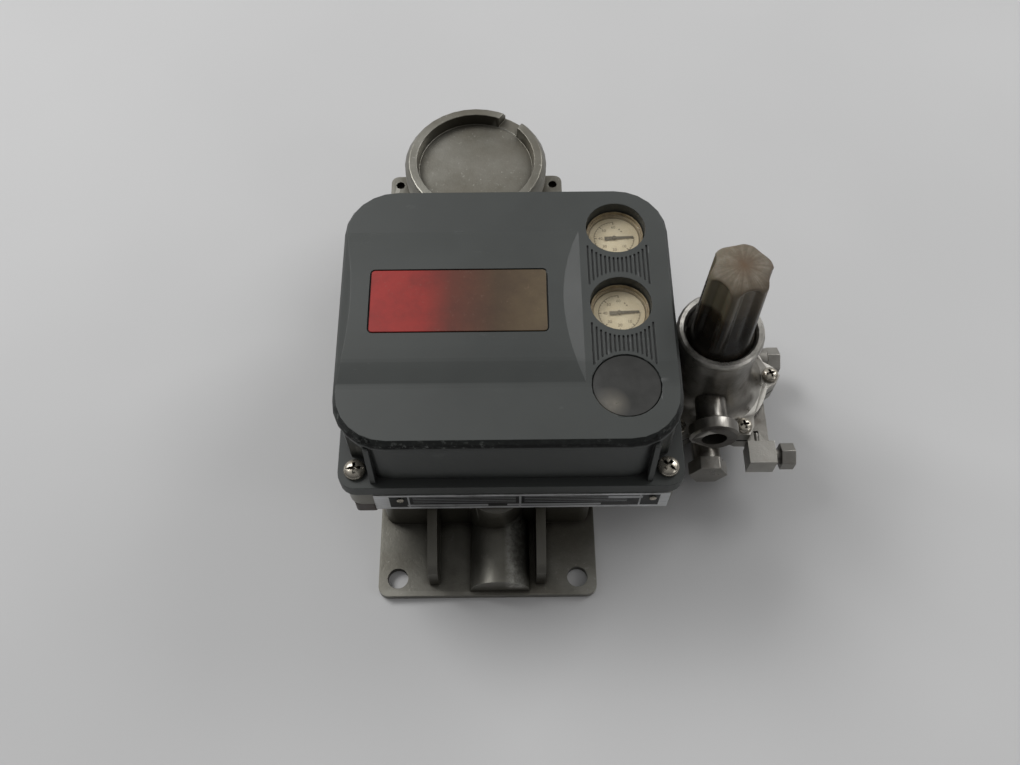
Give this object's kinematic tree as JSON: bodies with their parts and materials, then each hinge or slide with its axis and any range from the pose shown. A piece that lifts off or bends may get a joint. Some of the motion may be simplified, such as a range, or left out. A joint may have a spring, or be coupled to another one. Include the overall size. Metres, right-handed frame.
{
  "type": "valve positioner",
  "caption": "Stainless valve positioner with a dark front cover, pressure gauges, a round terminal box and a filter regulator bolted to its side.",
  "frame": {"origin": "on the flat back face, under the middle of the front cover's flange", "axes": "+Z from the back face to the front cover, +Y towards the terminal box, +X towards the filter regulator"},
  "size_m": [0.2224, 0.2528, 0.134],
  "materials": {
    "cast_metal": "as cast, dull",
    "stainless": "satin",
    "cover_plastic": "fine grained matt",
    "nameplate": "satin red to bronze",
    "label": "satin, bare",
    "rubber": "matt",
    "dial": "matt cream",
    "bezel": "worn satin",
    "needle": "matt",
    "lens": "clear",
    "smoked_plastic": "smoked, dusty",
    "brown_plastic": "matt",
    "black_plastic": "matt",
    "filter_media": "felted",
    "spring_steel": "drawn wire"
  },
  "bodies": {
    "housing": {"case_screw_1": "stainless", "case_screw_2": "stainless", "case_screw_3": "stainless", "case_screw_4": "stainless", "case_screw_5": "stainless", "case_screw_6": "stainless", "cover_seal": "rubber", "diaphragm": "rubber", "drain_valve": "stainless", "dripwell": "stainless", "electronics_module": "black_plastic", "filter_element": "filter_media", "front_port_plug": "stainless", "gauge_case_lower": "bezel", "gauge_case_upper": "bezel", "gauge_dial_lower": "dial", "gauge_dial_upper": "dial", "gauge_lens_lower": "lens", "gauge_lens_upper": "lens", "housing": "cast_metal", "inlet_fitting": "stainless", "label_plate": "label", "label_rivet_left": "label", "label_rivet_right": "label", "lock_nut": "stainless", "module_base": "cast_metal", "module_screw_1": "stainless", "module_screw_2": "stainless", "module_screw_3": "stainless", "module_seal": "rubber", "pneumatic_relay": "cast_metal", "pressure_converter": "stainless", "regulator_body": "stainless", "regulator_screw_back": "stainless", "regulator_screw_front": "stainless", "regulator_seal": "rubber", "regulator_spring": "spring_steel", "spare_port_plug": "stainless", "spring_case": "stainless", "terminal_board": "black_plastic", "travel_sensor": "black_plastic", "vent_cap": "brown_plastic"},
    "front_cover": {"front_cover": "cover_plastic", "cover_nameplate": "nameplate", "blank_window": "cover_plastic"},
    "cover_screw_1": {"cover_screw_1": "stainless"},
    "cover_screw_2": {"cover_screw_2": "stainless"},
    "cover_screw_3": {"cover_screw_3": "stainless"},
    "cover_screw_4": {"cover_screw_4": "stainless"},
    "gauge_needle_upper": {"gauge_needle_upper": "needle"},
    "gauge_needle_lower": {"gauge_needle_lower": "needle"},
    "terminal_cap_seal": {"terminal_cap_seal": "rubber"},
    "terminal_cap": {"terminal_cap": "cast_metal"},
    "closing_cap_gasket": {"closing_cap_gasket": "rubber"},
    "closing_cap": {"closing_cap": "smoked_plastic"},
    "spring_seat": {"spring_seat": "stainless"},
    "adjusting_screw": {"adjusting_screw": "stainless"},
    "valve_plug": {"valve_plug": "stainless"},
    "drain_nut": {"drain_nut": "stainless"},
    "feedback_shaft": {"feedback_shaft": "stainless"}
  },
  "joints": [
    {"name": "cover_lift", "type": "slide", "parent": "housing", "child": "front_cover", "axis": [0, 0, 1], "range_m": [0, 0.08]},
    {"name": "cover_screw_1_turn", "type": "hinge", "parent": "front_cover", "child": "cover_screw_1", "pos_m": [-0.071, -0.062, 0.0696], "axis": [0, 0, 1], "continuous": true},
    {"name": "cover_screw_2_turn", "type": "hinge", "parent": "front_cover", "child": "cover_screw_2", "pos_m": [-0.071, 0.062, 0.0696], "axis": [0, 0, 1], "continuous": true},
    {"name": "cover_screw_3_turn", "type": "hinge", "parent": "front_cover", "child": "cover_screw_3", "pos_m": [0.071, -0.062, 0.0696], "axis": [0, 0, 1], "continuous": true},
    {"name": "cover_screw_4_turn", "type": "hinge", "parent": "front_cover", "child": "cover_screw_4", "pos_m": [0.071, 0.062, 0.0696], "axis": [0, 0, 1], "continuous": true},
    {"name": "gauge_needle_upper_turn", "type": "hinge", "parent": "housing", "child": "gauge_needle_upper", "pos_m": [0.05, 0.04375, 0.0979], "axis": [0, 0, 1], "range_deg": [-270, 0], "stiffness_Nm_per_rad": 0.0004},
    {"name": "gauge_needle_lower_turn", "type": "hinge", "parent": "housing", "child": "gauge_needle_lower", "pos_m": [0.05, 0.002, 0.0979], "axis": [0, 0, 1], "range_deg": [-270, 0], "stiffness_Nm_per_rad": 0.0004},
    {"name": "terminal_cap_lift", "type": "slide", "parent": "housing", "child": "terminal_cap_seal", "axis": [0, 0, 1], "range_m": [0, 0.0046]},
    {"name": "terminal_cap_turn", "type": "hinge", "parent": "terminal_cap_seal", "child": "terminal_cap", "pos_m": [-0.017, 0.1142, 0.0616], "axis": [0, 0, 1], "range_deg": [0, 1080]},
    {"name": "closing_cap_lift", "type": "slide", "parent": "housing", "child": "closing_cap_gasket", "axis": [0, 0, 1], "range_m": [0, 0.0045]},
    {"name": "closing_cap_turn", "type": "hinge", "parent": "closing_cap_gasket", "child": "closing_cap", "pos_m": [0.1004, 0.004, 0.0686], "axis": [0, 0, 1], "range_deg": [0, 1080.1]},
    {"name": "spring_seat_slide", "type": "slide", "parent": "housing", "child": "spring_seat", "axis": [0, 0, 1], "range_m": [-0.006, 0], "deforming": ["regulator_spring"]},
    {"name": "adjusting_screw_turn", "type": "hinge", "parent": "spring_seat", "child": "adjusting_screw", "pos_m": [0.1004, 0.004, 0.1], "axis": [0, 0, 1], "range_deg": [-1460, 0]},
    {"name": "valve_plug_slide", "type": "slide", "parent": "housing", "child": "valve_plug", "axis": [0, 0, 1], "range_m": [-0.0012, 0], "stiffness_N_per_m": 800},
    {"name": "drain_nut_turn", "type": "hinge", "parent": "housing", "child": "drain_nut", "pos_m": [0.13184, -0.0381, 0.0266], "axis": [1, 0, 0], "range_deg": [0, 360]},
    {"name": "feedback_shaft_turn", "type": "hinge", "parent": "housing", "child": "feedback_shaft", "pos_m": [-0.0075, -0.0575, 0.002], "axis": [0, 0, 1], "range_deg": [-45, 45]}
  ],
  "couplings": [
    {"joint": "terminal_cap_lift", "follows": "terminal_cap_turn", "m_per_rad": 0.00023873},
    {"joint": "closing_cap_turn", "follows": "closing_cap_lift", "rad_per_m": 4188.8},
    {"joint": "adjusting_screw_turn", "follows": "spring_seat_slide", "rad_per_m": 4188.8}
  ]
}
